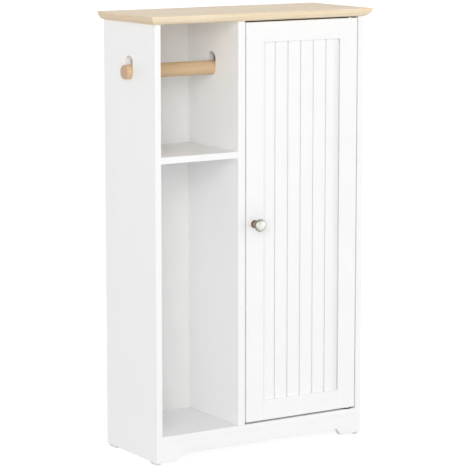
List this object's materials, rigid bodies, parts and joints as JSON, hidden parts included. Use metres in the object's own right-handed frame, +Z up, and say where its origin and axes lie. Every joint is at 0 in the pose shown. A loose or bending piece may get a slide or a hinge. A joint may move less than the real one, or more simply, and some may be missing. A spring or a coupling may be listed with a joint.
{
  "type": "narrow bathroom cabinet",
  "caption": "Narrow free-standing cabinet: open bay with a roll rod and a fixed shelf beside a cupboard with a planked door, wood-effect top.",
  "frame": {"origin": "on the floor, under the middle of the whole outline, knob and top overhang included", "axes": "+Z up, -Y out of the front of the cabinet, +X towards the cupboard side"},
  "size_m": [0.474, 0.21, 0.813],
  "materials": {
    "white_lacquer": "satin white lacquer on fibreboard",
    "beech_effect": "light beech-effect foil, satin",
    "hardboard": "white-faced hardboard",
    "rod_beech": "turned solid beech, bare",
    "dowel_beech": "bare beech",
    "zinc_steel": "bright zinc plate",
    "cast_zinc": "die-cast zinc alloy",
    "brushed_nickel": "brushed nickel plate",
    "glide_plastic": "moulded polyethylene",
    "bush_nylon": "moulded dark grey nylon",
    "catch_plastic": "moulded plastic",
    "ferrite": "ground ferrite"
  },
  "bodies": {
    "carcass": {"top_board": "beech_effect", "left_side_panel": "white_lacquer", "right_side_panel": "white_lacquer", "divider_panel": "white_lacquer", "floor_board": "white_lacquer", "front_plinth": "white_lacquer", "back_panel": "hardboard", "bay_shelf": "white_lacquer", "lower_loose_shelf": "white_lacquer", "upper_loose_shelf": "white_lacquer", "shelf_pins": "zinc_steel", "cam_locks": "cast_zinc", "cam_bolts": "zinc_steel", "carcass_dowels": "dowel_beech", "divider_screws": "zinc_steel", "back_panel_screws": "zinc_steel", "floor_glides": "glide_plastic", "glide_nails": "zinc_steel", "upper_pivot_bush": "bush_nylon", "lower_pivot_bush": "bush_nylon", "catch_housing": "catch_plastic", "catch_magnet": "ferrite", "catch_screws": "zinc_steel", "wall_bracket": "zinc_steel", "wall_bracket_screws": "zinc_steel"},
    "door": {"knob_stile": "white_lacquer", "hinge_stile": "white_lacquer", "door_top_rail": "white_lacquer", "door_bottom_rail": "white_lacquer", "door_panel": "white_lacquer", "door_dowels": "dowel_beech", "door_knob": "brushed_nickel", "knob_screw": "zinc_steel", "upper_pivot_pin": "zinc_steel", "lower_pivot_pin": "zinc_steel", "strike_plate": "zinc_steel", "strike_screws": "zinc_steel"},
    "rod": {"roll_rod": "rod_beech"}
  },
  "joints": [
    {"name": "door_swing", "type": "hinge", "parent": "carcass", "child": "door", "pos_m": [0.19816, -0.0725, 0.4], "axis": [0, 0, 1], "range_deg": [0, 110]},
    {"name": "rod_pull", "type": "slide", "parent": "carcass", "child": "rod", "axis": [-1, 0, 0], "range_m": [0, 0.19]}
  ]
}
